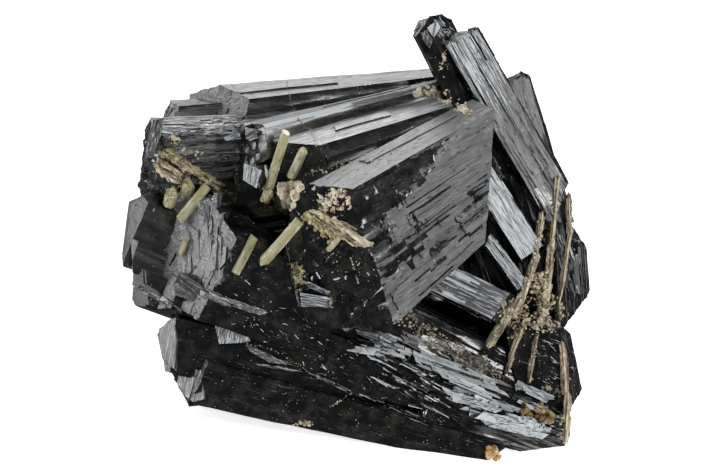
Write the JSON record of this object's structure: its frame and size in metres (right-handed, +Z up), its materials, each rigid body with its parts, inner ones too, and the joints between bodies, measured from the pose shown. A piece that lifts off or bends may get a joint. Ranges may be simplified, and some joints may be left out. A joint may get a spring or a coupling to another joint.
{
  "type": "ilvaite crystal cluster",
  "caption": "Cluster of black striated ilvaite prisms in two sprays, with a large block crystal, quartz prisms, pale crusts and brown veins, on a flat broken base.",
  "frame": {"origin": "middle of the cluster's outline at the level of its flat broken base", "axes": "+Z up from the base, +X to the right and +Y to the back, seen from the cluster's display side"},
  "size_m": [0.0816, 0.0614, 0.0572],
  "materials": {
    "black_crystal": "black, glassy to submetallic, striated",
    "quartz": "clear to smoky olive yellow, glassy",
    "brown_vein": "dull, earthy",
    "pale_crust": "dull, chalky",
    "orange_grain": "dull, rusty"
  },
  "bodies": {
    "root": {"main_crystal": "black_crystal", "short_block_crystal": "black_crystal", "slim_lath_crystal": "black_crystal", "bright_lath_crystal": "black_crystal", "tall_crystal": "black_crystal", "companion_crystal": "black_crystal", "right_shoulder_crystal": "black_crystal", "lower_right_crystal": "black_crystal", "back_bundle": "black_crystal", "upper_spray": "black_crystal", "lower_spray": "black_crystal", "quartz_1": "quartz", "quartz_2": "quartz", "quartz_3": "quartz", "quartz_4": "quartz", "quartz_5": "quartz", "quartz_6": "quartz", "quartz_7": "quartz", "quartz_8": "quartz", "quartz_9": "quartz", "brown_vein_1": "brown_vein", "brown_vein_2": "brown_vein", "brown_vein_3": "brown_vein", "brown_vein_4": "brown_vein", "brown_vein_5": "brown_vein", "brown_vein_6": "brown_vein", "seam_crust": "pale_crust", "cream_crust_centre": "pale_crust", "cream_crust_main": "pale_crust", "leaf_crust": "pale_crust", "cream_crust_top": "pale_crust", "foot_crust": "pale_crust", "rubble_crust": "pale_crust", "golden_crust": "pale_crust", "orange_grain": "orange_grain"}
  },
  "joints": []
}
